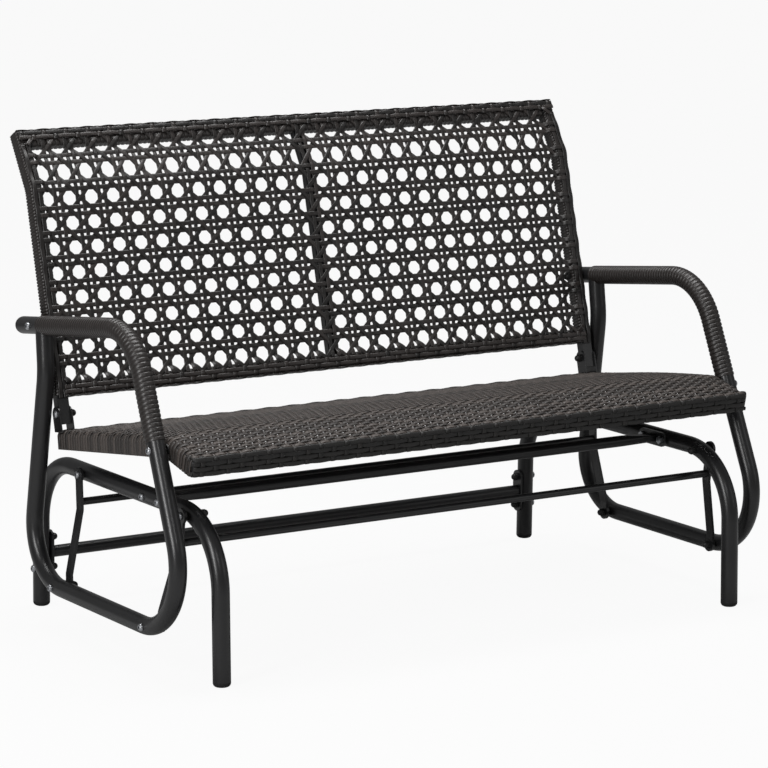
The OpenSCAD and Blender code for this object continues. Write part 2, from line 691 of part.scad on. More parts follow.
module seat_bolts() {
    color(zinc) both_sides() bolt(seat_bolt, seat_nut_x - nut_h,
        loop_x_at(seat_bolt.y) + tube_r + crest_gap);
}
module seat_nuts() {
    color(nylon) both_sides() cap_nut(seat_bolt, seat_nut_x);
}

// Bracket: a folded channel on the rear corner of the seat frame, open to the front
bracket_half = post_w / 2 + post_clear + bracket_t;
bracket_path = [seat_rear - seat_dir * bracket_w * 0.35, seat_rear + seat_dir * bracket_w * 0.65];
module bracket_cheek() {
    linear_extrude(bracket_t) difference() {
        union() {
            translate(bracket_bolt) circle(d = bracket_w);
            translate(bracket_bolt) rotate(-back_lean)
                translate([post_clear - bracket_w / 2, -3 * bracket_w])
                    square([bracket_w - 2 * post_clear, 3 * bracket_w]);
        }
        translate(seat_rear + left_of(seat_dir) * (weave_t - bracket_t / 2)) rotate(180 - seat_slope)
            translate([-5 * bracket_w, 0]) square([10 * bracket_w, 5 * bracket_w]);
        translate(bracket_bolt) circle(d = bolt_d + 2 * bolt_clear);
    }
}
module back_bracket() {
    at_side(post_x) {
        bar(bracket_path, [0, 0], weave_t - bracket_t, weave_t, 2 * bracket_half - bracket_t);
        translate([0, 0, -bracket_half]) bracket_cheek();
        translate([0, 0, bracket_half - bracket_t]) bracket_cheek();
    }
}
module bracket_space() {
    at_side(post_x) bar(trimmed(bracket_path, -fit_clear, -fit_clear - bracket_w * 0.25), [0, 0],
        -over, weave_t, 2 * (bracket_half + fit_clear));
}
module right_back_bracket() { color(steel) back_bracket(); }
module left_back_bracket() { color(steel) left_side() back_bracket(); }
module back_bolts() {
    color(zinc) both_sides() bolt(bracket_bolt, post_x - bracket_half - nut_h, post_x + bracket_half);
}
module back_nuts() {
    color(nylon) both_sides() cap_nut(bracket_bolt, post_x - bracket_half);
}
arm_nut_x = post_x - post_w / 2 - post_wrap_t;
module arm_bolts() {
    color(zinc) both_sides() bolt(arm_bolt, arm_nut_x - nut_h, loop_x_at(arm_bolt.y) + tube_r + crest_gap);
}
module arm_nuts() {
    color(nylon) both_sides() cap_nut(arm_bolt, arm_nut_x);
}

// Back frame: square tubes, all with their fronts on one bent line
module back_post() {
    difference() {
        at_side(post_x) bar(back_path, back_r, -post_t, 0, post_w);
        at_side(post_x) bar(trimmed(back_path, -over, square_wall), back_r,
            -post_t + square_wall, -square_wall, post_w - 2 * square_wall);
        for (at = [bracket_bolt, arm_bolt]) bolt_hole(at, post_x - post_w, post_x + post_w);
    }
}
// Part of the back between two lengths along its line, drawn in the side view
module back_stretch(s0, s1, low, high, width) {
    bar(trimmed(back_path, s0, back_low_len + back_top_len - s1), back_r, low, high, width);
}
module low_stretch(s0, s1, low, high, width) {
    bar([back_foot + post_dir * s0, back_foot + post_dir * s1], [0, 0], low, high, width);
}
module top_stretch(s0, s1, low, high, width) {
    bar([back_bend + top_dir * (s0 - back_low_len), back_bend + top_dir * (s1 - back_low_len)],
        [0, 0], low, high, width);
}
rail_len = 2 * (post_x - post_w / 2);
module top_rail(grow) {
    at_side(0) top_stretch(top_rail_s - grow, top_rail_s + top_rail_h + grow, -post_t - grow, grow, rail_len);
}
module bottom_rail(grow) {
    at_side(0) low_stretch(low_rail_s - grow, low_rail_s + low_rail_h + grow, -post_t - grow, grow, rail_len);
}
module top_back_rail() {
    color(dark_steel) difference() {
        top_rail(0);
        at_side(0) top_stretch(top_rail_s + square_wall, top_rail_s + top_rail_h - square_wall,
            -post_t + square_wall, -square_wall, rail_len + over);
    }
}
module bottom_back_rail() {
    color(dark_steel) difference() {
        bottom_rail(0);
        at_side(0) low_stretch(low_rail_s + square_wall, low_rail_s + low_rail_h - square_wall,
            -post_t + square_wall, -square_wall, rail_len + over);
    }
}
module middle_back_post() {
    s0 = low_rail_s + low_rail_h;
    color(dark_steel) difference() {
        at_side(0) back_stretch(s0, top_rail_s, -post_t, -post_t + middle_post_t, post_w);
        at_side(0) back_stretch(s0 - over, top_rail_s + over, -post_t + square_wall,
            -post_t + middle_post_t - square_wall, post_w - 2 * square_wall);
    }
}
module right_back_post() { color(dark_steel) back_post(); }
module left_back_post() { color(dark_steel) left_side() back_post(); }

// Strip wound on the back frame, as close sleeves that meet at the corners
wrap_start_s = low_rail_s - post_wrap_t;
back_len = back_low_len + back_top_len;
module post_wrap() {
    wrapped_w = post_w + 2 * post_wrap_t;
    difference() {
        at_side(post_x) bar(trimmed(back_path, wrap_start_s, -post_wrap_t), back_r,
            -post_t - post_wrap_t, post_wrap_t, wrapped_w);
        at_side(post_x) bar(trimmed(back_path, 0, -fit_clear), back_r,
            -post_t - fit_clear, fit_clear, post_w + 2 * fit_clear);
        top_rail(fit_clear);
        bottom_rail(fit_clear);
        bolt_hole(arm_bolt, post_x - wrapped_w, post_x + wrapped_w);
    }
}
module right_post_wrap() { color(cane) post_wrap(); }
module left_post_wrap() { color(cane) left_side() post_wrap(); }
sleeve_len = rail_len - 2 * post_wrap_t;
// Room for the middle post where it meets the two rails
module middle_notch() {
    at_side(0) back_stretch(low_rail_s, top_rail_s + top_rail_h, -post_t - fit_clear,
        -post_t + middle_post_t + fit_clear, post_w + 2 * fit_clear);
}
module top_rail_wrap() {
    color(cane) difference() {
        at_side(0) top_stretch(top_rail_s - post_wrap_t, back_len + post_wrap_t,
            -post_t - post_wrap_t, post_wrap_t, sleeve_len);
        top_rail(fit_clear);
        middle_notch();
    }
}
module bottom_rail_wrap() {
    color(cane) difference() {
        at_side(0) low_stretch(low_rail_s - post_wrap_t, low_rail_s + low_rail_h + post_wrap_t,
            -post_t - post_wrap_t, post_wrap_t, sleeve_len);
        bottom_rail(fit_clear);
        middle_notch();
    }
}

// Cane panel: a flat net below the bend and one above it, with rows set out from the bend
cane_s0 = low_rail_s + low_rail_h + post_wrap_t + fit_clear;
cane_s1 = top_rail_s - post_wrap_t - fit_clear;
columns = floor(cane_half / cane_pitch + 0.5);
rows_below = floor((back_low_len - cane_s0 - cane_hole / 2) / cane_pitch + 0.5);
rows_above = floor((cane_s1 - back_low_len - cane_hole / 2) / cane_pitch + 0.5);
module cane_holes(first, count, direction, flat_from, flat_to) {
    intersection() {
        translate([min(flat_from, flat_to), -cane_half + cane_edge])
            square([abs(flat_to - flat_from), 2 * (cane_half - cane_edge)]);
        for (i = [0:count - 1], j = [0.5:columns - 0.5], s = [-1, 1])
            translate([first + direction * (i + 0.5) * cane_pitch, s * j * cane_pitch])
                circle(d = cane_hole / cos(22.5), $fn = 8);
    }
}
// Cuts the drawing of the openings through the panel, on the flat that starts at a point
module cane_cut(at, dir) {
    at_side(0) translate([at.x, at.y, 0]) rotate([0, 0, atan2(dir.y, dir.x)]) rotate([90, 0, 0])
        translate([0, 0, -over]) linear_extrude(cane_t + 2 * over) children();
}
module cane_panel() {
    color(cane) difference() {
        at_side(0) back_stretch(cane_s0, cane_s1, -cane_t, 0, 2 * cane_half);
        cane_cut(back_foot, post_dir)
            cane_holes(back_low_len, rows_below, -1, cane_s0 + cane_edge, back_low_len);
        cane_cut(back_bend, top_dir)
            cane_holes(0, rows_above, 1, 0, cane_s1 - back_low_len - cane_edge);
    }
}

left_base_hoop();
right_base_hoop();
front_left_foot_cap();
front_right_foot_cap();
rear_left_foot_cap();
rear_right_foot_cap();
base_cross_tube();
cross_tube_bolts();
cross_tube_nuts();
rear_stretcher();
stretcher_bolts();
stretcher_nuts();
top_pivot_bolts();
top_pivot_nuts();
top_pivot_spacers();
rear_left_link();
rear_right_link();
rear_link_bar();
rear_link_bushes();
front_left_link();
front_right_link();
front_link_bar();
front_link_bushes();
left_side_loop();
right_side_loop();
left_arm_wrap();
right_arm_wrap();
low_pivot_bolts();
low_pivot_nuts();
low_pivot_spacers();
seat_frame();
seat_slats();
seat_weave();
seat_bolts();
seat_nuts();
seat_spacers();
left_back_bracket();
right_back_bracket();
back_bolts();
back_nuts();
arm_bolts();
arm_nuts();
left_back_post();
right_back_post();
middle_back_post();
top_back_rail();
bottom_back_rail();
left_post_wrap();
right_post_wrap();
top_rail_wrap();
bottom_rail_wrap();
cane_panel();
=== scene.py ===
"""Looks of a two-seat glider bench: woven seat, open cane back, wound armrests, coated tube."""
import math

import bpy
import numpy as np
from mathutils import Matrix


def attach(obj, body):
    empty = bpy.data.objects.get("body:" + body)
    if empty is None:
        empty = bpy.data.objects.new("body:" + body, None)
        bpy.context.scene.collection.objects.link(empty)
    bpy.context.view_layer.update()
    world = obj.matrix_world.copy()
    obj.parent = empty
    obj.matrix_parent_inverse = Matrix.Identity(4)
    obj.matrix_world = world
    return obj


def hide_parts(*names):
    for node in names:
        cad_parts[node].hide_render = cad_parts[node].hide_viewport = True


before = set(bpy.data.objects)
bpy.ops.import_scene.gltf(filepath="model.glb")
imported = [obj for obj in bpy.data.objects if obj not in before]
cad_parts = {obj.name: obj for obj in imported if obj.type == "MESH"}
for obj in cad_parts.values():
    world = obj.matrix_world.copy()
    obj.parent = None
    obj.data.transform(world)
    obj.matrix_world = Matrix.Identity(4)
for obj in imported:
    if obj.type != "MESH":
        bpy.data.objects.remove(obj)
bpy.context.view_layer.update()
scene = bpy.context.scene
chance = np.random.default_rng(7)

# All sizes are in millimetres, and are those of the CAD source where it has them
MM = 0.001
TUBE_R = 15
# Side loops: how far out and how high the bottom rail and the armrest's corner are, and the lean
LOOP_X, LOOP_Z = 588, 82
ARM_X, ARM_Z = 579, 564.55
LOOP_TILT = math.atan((LOOP_X - ARM_X) / (ARM_Z - LOOP_Z))
# Bent lines in (y, z): start, direction in degrees, length to the corner, new direction, radius
BACK_LINE = ((156, 356), 75.3, 406.2, 58.0, 60)
SEAT_LINE = ((168, 343), 172.25, 386.3, 192.7, 60)
# Seat: half its width, its thickness, the length of its front edge from its rear, and its crown
SEAT_HALF, SEAT_T = 564.2, 31
FRONT_S = SEAT_LINE[2] + 89.7
CROWN = 9.5
# Back: distance of the posts from the middle, and depth of the middle of the frame behind its front
POST_X = 551.6
FRAME_DEPTH = 9
ACROSS = np.array([1.0, 0, 0])


# Colour, nodes and meshes

def hexed(text):
    """Turns an sRGB hex colour to linear: c/12.92 below 0.04045, else ((c + 0.055)/1.055)^2.4."""
    srgb = [int(text[i:i + 2], 16) / 255 for i in (1, 3, 5)]
    return tuple(c / 12.92 if c <= 0.04045 else ((c + 0.055) / 1.055) ** 2.4 for c in srgb) + (1.0,)


def add(tree, kind, inputs=None, **settings):
    """Adds one node: settings are its own values, inputs are values or the sockets that feed it."""
    node = tree.nodes.new(kind)
    for name, value in settings.items():
        setattr(node, name, value)
    for key, value in (inputs or {}).items():
        if isinstance(value, bpy.types.NodeSocket):
            tree.links.new(value, node.inputs[key])
        else:
            node.inputs[key].default_value = value
    return node


def material(name, shade, **plain):
    """A material: shade fills the tree and returns what feeds the Principled shader's sockets."""
    made = bpy.data.materials.new(name)
    made.use_nodes = True
    tree = made.node_tree
    tree.nodes.clear()
    shader = add(tree, "ShaderNodeBsdfPrincipled", {**plain, **shade(tree)})
    add(tree, "ShaderNodeOutputMaterial", {"Surface": shader.outputs["BSDF"]})
    return made


def piece(name, points, faces, look, body, uv, tone):
    """Makes one mesh from points in millimetres and face arrays, and lets it ride on its body."""
    mesh = bpy.data.meshes.new(name)
    points = np.asarray(points, float).reshape(-1, 3) * MM
    corners = np.concatenate([f.ravel() for f in faces]).astype(np.int32)
    counts = np.concatenate([np.full(len(f), f.shape[1]) for f in faces])
    mesh.vertices.add(len(points))
    mesh.vertices.foreach_set("co", points.ravel())
    mesh.loops.add(len(corners))
    mesh.loops.foreach_set("vertex_index", corners)
    mesh.polygons.add(len(counts))
    mesh.polygons.foreach_set("loop_start", (np.cumsum(counts) - counts).astype(np.int32))
    mesh.update(calc_edges=True)
    mesh.shade_smooth()
    layer = mesh.uv_layers.new(name="UVMap")
    layer.data.foreach_set("uv", np.asarray(uv, float).reshape(-1, 2)[corners].ravel())
    tones = mesh.attributes.new("tone", "FLOAT", "POINT")
    tones.data.foreach_set("value", np.asarray(tone, float).ravel())
    mesh.materials.append(look)
    made = bpy.data.objects.new(name, mesh)
    scene.collection.objects.link(made)
    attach(made, body)
    return made


def tube_faces(strands, rings, sides):
    """Quads between the neighbouring rings of every strand, and a closing face at both its ends."""
    ring = np.arange(sides)
    after = np.roll(ring, -1)
    row = np.arange(rings - 1)[:, None] * sides
    quads = np.stack([row + ring, row + after, row + sides + after, row + sides + ring], -1)
    quads = quads.reshape(-1, 4)
    start = np.arange(strands)[:, None] * rings * sides
    quads = (quads[None] + start[:, :, None]).reshape(-1, 4)
    ends = np.concatenate([start + ring[::-1], start + (rings - 1) * sides + ring])
    return [quads, ends]


def oval(sides, width, thick, square=0.6):
    """Cross-section of a strand: |cos|^square and |sin|^square, signed, times half its sizes."""
    turn = (np.arange(sides) + 0.5) * 2 * math.pi / sides
    across = np.sign(np.cos(turn)) * np.abs(np.cos(turn)) ** square * width / 2
    above = np.sign(np.sin(turn)) * np.abs(np.sin(turn)) ** square * thick / 2
    return across, above


def unit(v):
    """Vectors divided by their lengths."""
    return v / np.maximum(np.linalg.norm(v, axis=-1, keepdims=True), 1e-9)


def strand_points(centre, side, section):
    """Carries a section along centre lines (strand, ring, 3).

    Each point is centre + across·side + above·(tangent x side)."""
    tangent = unit(np.gradient(centre, axis=1))
    side = np.broadcast_to(side, centre.shape)
    up = unit(np.cross(tangent, side))
    side = np.cross(up, tangent)
    across, above = section
    return centre[:, :, None] + side[:, :, None] * across[:, None] + up[:, :, None] * above[:, None]


def weave(name, centre, side, section, look):
    """A set of strands as one piece of the seat: u along each strand, v round it, one tone each."""
    count, rings = centre.shape[:2]
    sides = len(section[0])
    points = strand_points(centre, side, section)
    along = np.zeros((count, rings))
    along[:, 1:] = np.cumsum(np.linalg.norm(np.diff(centre, axis=1), axis=2), axis=1) * MM
    along += chance.uniform(0, 9, (count, 1))
    uv = np.stack(np.broadcast_arrays(along[:, :, None], np.arange(sides) / sides), -1)
    tone = np.broadcast_to(chance.uniform(0, 1, (count, 1, 1)), (count, rings, sides))
    piece(name, points, tube_faces(count, rings, sides), look, "seat", uv, tone)


# Lines and places

def bent(line, s, out):
    """Point at length s on a line with one rounded corner, moved out to its left, in (y, z).

    Before the corner it is start + s·d1, after it corner + (s - length)·d2, and on the arc between
    it turns about the arc's centre by an angle in proportion to s."""
    start, first, length, second, radius = line
    a1, a2 = math.radians(first), math.radians(second)
    turn = a2 - a1
    reach = radius * math.tan(abs(turn) / 2)
    s, out = np.broadcast_arrays(np.asarray(s, float), np.asarray(out, float))
    angle = a1 + turn * np.clip((s - length + reach) / (2 * reach), 0, 1)
    before = np.minimum(s, length - reach)
    past = np.maximum(s - length - reach, 0)
    sign = math.copysign(radius, turn)
    y = start[0] + before * math.cos(a1) + past * math.cos(a2)
    z = start[1] + before * math.sin(a1) + past * math.sin(a2)
    y = y + sign * (-math.sin(a1) + np.sin(angle)) - np.sin(angle) * out
    z = z + sign * (math.cos(a1) - np.cos(angle)) + np.cos(angle) * out
    return y, z


def back_point(x, s, out):
    """Place on the back: x along the bench, s up its bent front line, out in front of that line."""
    y, z = bent(BACK_LINE, s, out)
    return np.stack(np.broadcast_arrays(x, y, z), -1)


def seat_point(x, s, lift):
    """Place on the seat: s from its rear edge to its front, lift above its woven top.

    The top is crowned by CROWN·sin(pi·u^1.3)·(1 - w^20), u being the share of the way from its
    rear edge to its front and w that from its middle to its side."""
    crown = CROWN * np.sin(math.pi * np.clip(np.asarray(s, float) / FRONT_S, 0, 1) ** 1.3)
    crown = crown * (1 - np.clip(np.abs(x) / SEAT_HALF, 0, 1) ** 20)
    y, z = bent(SEAT_LINE, s, -(lift + crown))
    return np.stack(np.broadcast_arrays(x, y, z), -1)


def rounded(corners, radii, step):
    """Points every step along straight lines whose corners are arcs of the given radii."""
    corners = np.asarray(corners, float)
    line = [corners[0]]
    for i in range(1, len(corners) - 1):
        u = unit(corners[i] - corners[i - 1])
        w = unit(corners[i + 1] - corners[i])
        turn = math.acos(np.clip(u @ w, -1, 1))
        reach = radii[i] * math.tan(turn / 2)
        side = unit(w - u * (u @ w))
        arc = np.linspace(0, turn, 25)[:, None]
        curve = np.sin(arc) * u + (1 - np.cos(arc)) * side
        line.extend(corners[i] - u * reach + radii[i] * curve)
    line.append(corners[-1])
    line = np.array(line)
    gone = np.r_[0, np.cumsum(np.linalg.norm(np.diff(line, axis=0), axis=1))]
    want = np.linspace(0, gone[-1], max(2, round(gone[-1] / step) + 1))
    return np.stack([np.interp(want, gone, line[:, k]) for k in range(line.shape[1])], -1)


def on_loop(side, yz):
    """Places in the plane of a side loop, which leans in about its bottom rail by LOOP_TILT."""
    rise = yz[..., 1] - LOOP_Z
    x = LOOP_X - rise * math.sin(LOOP_TILT)
    return np.stack([side * x, yz[..., 0], LOOP_Z + rise * math.cos(LOOP_TILT)], -1)


def eased(u):
    """Smooth step: u^2·(3 - 2u), with u held between 0 and 1."""
    u = np.clip(u, 0, 1)
    return u * u * (3 - 2 * u)


def sleeve(name, centre, side, shape, look):
    """A closed skin along one centre line: shape has each ring point's offsets across and above."""
    rings, sides = shape[0].shape
    tangent = unit(np.gradient(centre, axis=0))
    up = unit(np.cross(tangent, side))
    side = np.cross(up, tangent)
    across, above = shape
    points = centre[:, None] + side[:, None] * across[..., None] + up[:, None] * above[..., None]
    gone = np.r_[0, np.cumsum(np.linalg.norm(np.diff(centre, axis=0), axis=1))] * MM
    uv = np.stack(np.broadcast_arrays(gone[:, None], np.arange(sides) / sides), -1)
    tone = np.broadcast_to(0.5, (rings, sides))
    return piece(name, points, tube_faces(1, rings, sides), look, "seat", uv, tone)


# Materials

def coat(tree):
    """Powder coat: a fine orange peel of about 0.7 mm, and slow changes of tone over 60 mm."""
    place = add(tree, "ShaderNodeTexCoord").outputs["Object"]
    peel = add(tree, "ShaderNodeTexNoise", {"Vector": place, "Scale": 1400, "Detail": 2})
    slow = add(tree, "ShaderNodeTexNoise", {"Vector": place, "Scale": 16, "Detail": 4})
    colour = add(tree, "ShaderNodeMix", {"Factor": slow.outputs["Fac"], "A": hexed("#161617"),
        "B": hexed("#202021")}, data_type="RGBA")
    gloss = add(tree, "ShaderNodeMapRange", {"Value": peel.outputs["Fac"], "To Min": 0.24,
        "To Max": 0.36})
    bump = add(tree, "ShaderNodeBump", {"Height": peel.outputs["Fac"], "Strength": 0.25,
        "Distance": 0.0002})
    return {"Base Color": colour.outputs["Result"], "Roughness": gloss.outputs["Result"],
        "Normal": bump.outputs["Normal"]}


def strip(dark, light, smooth, rough):
    """Extruded plastic strip: streaks 11 mm long down the strand, and one tone for each strand."""
    def shade(tree):
        uv = add(tree, "ShaderNodeTexCoord").outputs["UV"]
        stretched = add(tree, "ShaderNodeMapping", {"Vector": uv, "Scale": (90, 26, 1)})
        streaks = add(tree, "ShaderNodeTexNoise", {"Vector": stretched.outputs["Vector"],
            "Scale": 1, "Detail": 4, "Roughness": 0.6})
        tone = add(tree, "ShaderNodeAttribute", attribute_name="tone")
        mixed = add(tree, "ShaderNodeMath", {0: streaks.outputs["Fac"], 1: tone.outputs["Fac"]},
            operation="ADD")
        spread = add(tree, "ShaderNodeMapRange", {"Value": mixed.outputs["Value"], "From Min": 0.35,
            "From Max": 1.3})
        colour = add(tree, "ShaderNodeMix", {"Factor": spread.outputs["Result"], "A": hexed(dark),
            "B": hexed(light)}, data_type="RGBA")
        gloss = add(tree, "ShaderNodeMapRange", {"Value": streaks.outputs["Fac"], "To Min": smooth,
            "To Max": rough})
        bump = add(tree, "ShaderNodeBump", {"Height": streaks.outputs["Fac"], "Strength": 0.4,
            "Distance": 0.0003})
        return {"Base Color": colour.outputs["Result"], "Roughness": gloss.outputs["Result"],
            "Normal": bump.outputs["Normal"]}
    return shade


def plated(tree):
    """Zinc plate: cool grey with a fine grain that breaks up the reflection."""
    place = add(tree, "ShaderNodeTexCoord").outputs["Object"]
    grain = add(tree, "ShaderNodeTexNoise", {"Vector": place, "Scale": 900, "Detail": 3})
    colour = add(tree, "ShaderNodeMix", {"Factor": grain.outputs["Fac"], "A": hexed("#9a9ca0"),
        "B": hexed("#c6c8cb")}, data_type="RGBA")
    gloss = add(tree, "ShaderNodeMapRange", {"Value": grain.outputs["Fac"], "To Min": 0.25,
        "To Max": 0.42})
    return {"Base Color": colour.outputs["Result"], "Roughness": gloss.outputs["Result"]}


def moulded(dark, light):
    """Moulded nylon or rubber: a matt skin with a fine spark-eroded grain."""
    def shade(tree):
        place = add(tree, "ShaderNodeTexCoord").outputs["Object"]
        grain = add(tree, "ShaderNodeTexNoise", {"Vector": place, "Scale": 1100, "Detail": 3})
        colour = add(tree, "ShaderNodeMix", {"Factor": grain.outputs["Fac"], "A": hexed(dark),
            "B": hexed(light)}, data_type="RGBA")
        bump = add(tree, "ShaderNodeBump", {"Height": grain.outputs["Fac"], "Strength": 0.3,
            "Distance": 0.0002})
        return {"Base Color": colour.outputs["Result"], "Normal": bump.outputs["Normal"]}
    return shade


# Powder-coated steel, sprayed and baked: near-black and satin, with a soft stripe of light along it
powder_coat = material("powder_coated_steel", coat, IOR=1.5)
# Zinc-plated steel, tumbled and plated: the only bright points on the bench
zinc = material("zinc_plated_steel", plated, Metallic=1.0)
# Black nylon, moulded: dull black caps, bushes and spacers
nylon = material("black_nylon", moulded("#101010", "#1c1c1c"), Roughness=0.55, IOR=1.53)
# Black rubber, moulded: the dullest and darkest surface, at the feet
rubber = material("black_rubber", moulded("#0c0c0c", "#161616"), Roughness=0.8, IOR=1.52)
# Polyethylene rattan, extruded flat and woven: brown-black, paler along its streaks
rattan = material("woven_polyethylene_rattan", strip("#1b1715", "#443d39", 0.42, 0.64),
    IOR=1.51)
# The strip of the front edge, also on the rear edge and the sides: a darker copy of the deck's
# strip, with the edge's shade painted into its colour
rattan_painted_shade = material("polyethylene_rattan_painted_shade", strip("#080706", "#171412", 0.46, 0.66),
    IOR=1.51)
# The same strip in its darker colour, for the cane back and the wound posts
cane = material("polyethylene_cane", strip("#0d0c0b", "#2b2624", 0.28, 0.5), IOR=1.51)


def look_of(name):
    """Material of a part that the CAD shape itself shows."""
    if "foot_cap" in name:
        return rubber
    if name.endswith("_bolts") or name == "cross_tube_nuts":
        return zinc
    return nylon if name.endswith(("_nuts", "_spacers", "_bushes")) else powder_coat


for name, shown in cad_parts.items():
    shown.data.materials.clear()
    shown.data.materials.append(look_of(name))


# Cane back

# Distance from one pair of strands to the next, and of each strand from the middle of its pair
PITCH, OFF = 42.6, 5.9
# Place of the back's bend, and of the ends of the strands, up the back
FOLD = BACK_LINE[2]
CANE_LOW, CANE_TOP = 66, 490
STRAND_W, STRAND_T = 7.4, 1.2
# Depth of the cane behind the front of the frame, and how far its strands swing in and out of it
CANE_DEPTH, PAIR_SWING, SLOPE_SWING = 1.8, 0.75, 1.25
# Distances from the middle where a level strand starts up on to the post, goes under the outer
# strand of the post and ends, and where a sloping one starts up and ends
LEVEL_RISE, LEVEL_TUCK, LEVEL_END = 531, 549, 554.4
SLOPE_RISE, SLOPE_END = 533, 549


def spread_out(s):
    """The top cells are taller: s + 10.6·u^1.5, u going from 0 at 385 mm to 1 at 448.8 mm."""
    return s + 10.6 * np.clip((s - 385) / 63.8, 0, 1) ** 1.5


def climb(s):
    """Rise of a strand on to the front of a rail: 5 mm times a smooth step over the last 9 mm."""
    return 5 * eased(np.maximum(spread_out(s) - 477, 82 - s) / 9)


def near_pair(d):
    """One at a pair's first strand, minus one at its second, by a sine, and nothing elsewhere."""
    d = (d + PITCH / 2) % PITCH - PITCH / 2
    return np.where(np.abs(d) < 2 * OFF, np.sin(d * math.pi / (2 * OFF)), 0)


def cane_pairs():
    """Pairs of upright and of level strands, each over one of a pair and under the other."""
    s = np.arange(CANE_LOW, CANE_TOP + 1, 3.2)
    pairs = [(k * PITCH, side) for k in range(-12, 13) for side in (-1, 1)]
    x0, sign = np.array(pairs).T
    out = climb(s) - CANE_DEPTH + PAIR_SWING * sign[:, None] * near_pair(s[None] - FOLD)
    centre = back_point((x0 + sign * OFF)[:, None], spread_out(s)[None], out)
    weave("cane_uprights", centre, ACROSS, oval(8, STRAND_W, STRAND_T, 0.5), cane)
    ends = np.arange(LEVEL_END, 526, -1.2)
    x = np.concatenate([-ends, np.arange(-526, 526, 3.3), np.arange(526, 555, 1.2)])
    rows = [(FOLD + k * PITCH + side * OFF, side) for k in range(-7, 2) for side in (-1, 1)]
    s0, sign = np.array([row for row in rows if CANE_LOW < row[0] < CANE_TOP]).T
    # Each end climbs over the inner strand of the post and is tucked under the outer one
    up = (np.abs(x) - LEVEL_RISE) / 9
    tuck = np.clip((np.abs(x) - LEVEL_TUCK) / 5, 0, 1)
    swing = PAIR_SWING * sign[:, None] * near_pair(x[None]) * (1 - np.clip(up, 0, 1))
    out = 6.6 * eased(up) - 1.2 * tuck - CANE_DEPTH - swing
    s0 = spread_out(s0)
    centre = back_point(np.broadcast_to(x, out.shape), s0[:, None], out)
    upward = back_point(0, s0 + 1, 0) - back_point(0, s0, 0)
    weave("cane_levels", centre, upward[:, None], oval(8, STRAND_W + 0.5, STRAND_T, 0.5), cane)


def cane_slopes(way, name):
    """Strands across the pairs at 45 degrees, rising (1) or falling (-1) along the bench.

    Their line is s - FOLD = way·x + (m + 1/2)·PITCH, cut to the panel, and they swing by a cosine
    of x, so that they pass over the uprights and under the levels, or the other way round."""
    shift = FOLD + (np.arange(-26, 27) + 0.5) * PITCH
    ends = np.sort([way * (CANE_LOW - shift), way * (CANE_TOP - shift)], axis=0)
    low, high = np.clip(ends, -SLOPE_END, SLOPE_END)
    whole = high - low > 8
    low, high, shift = low[whole, None], high[whole, None], shift[whole, None]
    x = low + (high - low) * np.linspace(0, 1, 150)
    s = way * x + shift
    swing = way * SLOPE_SWING * np.cos(2 * math.pi * x / PITCH)
    out = climb(s) - CANE_DEPTH + swing + 4.0 * eased((np.abs(x) - SLOPE_RISE) / 9)
    s = spread_out(s)
    centre = back_point(x, s, out)
    outward = back_point(0, s, 1) - back_point(0, s, 0)
    facing = np.cross(outward, unit(np.gradient(centre, axis=1)))
    weave(name, centre, facing, oval(8, STRAND_W, STRAND_T, 0.5), cane)


cane_pairs()
cane_slopes(1, "cane_rising")
cane_slopes(-1, "cane_falling")
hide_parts("cane_panel")


# Seat

# Distance from one strand to the next, along the bench and from its rear to its front
WARP, WEFT = 8.25, 9
# Radius at which the strands turn down over the sides of the seat
EDGE_R = 8
# Depth of the middle of the weave below its top, and how far its strands swing about it
WEAVE_DEPTH, WEFT_SWING, WARP_SWING = 2.1, 1.5, 1.1
# Middle and half width of two loosely woven bands, at the bend and behind the front edge
LOOSE_BANDS = ((368, 12), (443, 14))
# Place of the rearmost weft
FIRST_WEFT = 5
# Where the tight part is split in two pieces, to keep each mesh light
SPLIT_S = 225


def over_edge(q, half, radius):
    """Place at length q from the middle of a level stretch: level, then round an arc, then down.

    Gives how far out it is, the drop below the level, and the angle that it has turned."""
    flat = half - radius
    a = np.clip((np.abs(q) - flat) / radius, 0, math.pi / 2)
    out = np.minimum(np.abs(q), flat) + radius * np.sin(a)
    drop = radius * (1 - np.cos(a)) + np.maximum(np.abs(q) - flat - radius * math.pi / 2, 0)
    return np.sign(q) * out, drop, a * np.sign(q)


def twill(u):
    """Height of a strand of the twill, from -1 where it dips to 1 where it floats.

    It dips at every third crossing: 1 - 2·exp(-(d/0.6)^2), d being the way to the nearest one."""
    d = (u + 1.5) % 3 - 1.5
    return 1 - 2 * np.exp(-(d / 0.6) ** 2)


def seat_wefts():
    """Strands across the seat, over two warps and under the third, turned down over both sides."""
    half = SEAT_HALF - 0.8
    flat = half - EDGE_R
    reach = flat + EDGE_R * math.pi / 2 + SEAT_T - EDGE_R - 1
    turned = np.linspace(flat, reach, 16)
    q = np.concatenate([-turned[::-1], np.arange(-flat + 1, flat, WARP / 4), turned])
    s = np.arange(FIRST_WEFT, FRONT_S - 8, WEFT)
    x, drop, lean = over_edge(q, half, EDGE_R)
    row = np.arange(len(s))[:, None]
    wave = WEFT_SWING * twill(q[None] / WARP - row) * np.cos(lean) ** 2
    centre = seat_point(x[None], s[:, None], wave - drop - WEAVE_DEPTH)
    backward = seat_point(0, s, 0) - seat_point(0, s + 1, 0)
    # The loose bands have narrower strands and let light through
    loose = np.any([np.abs(s - middle) < wide for middle, wide in LOOSE_BANDS], axis=0)
    for name, part, wide in (("seat_weave_behind", ~loose & (s < SPLIT_S), 9.2),
            ("seat_weave_tight", ~loose & (s >= SPLIT_S), 9.2), ("seat_weave_loose", loose, 7.6)):
        weave(name, centre[part], backward[part][:, None], oval(6, wide, 1.9, 0.8), rattan)


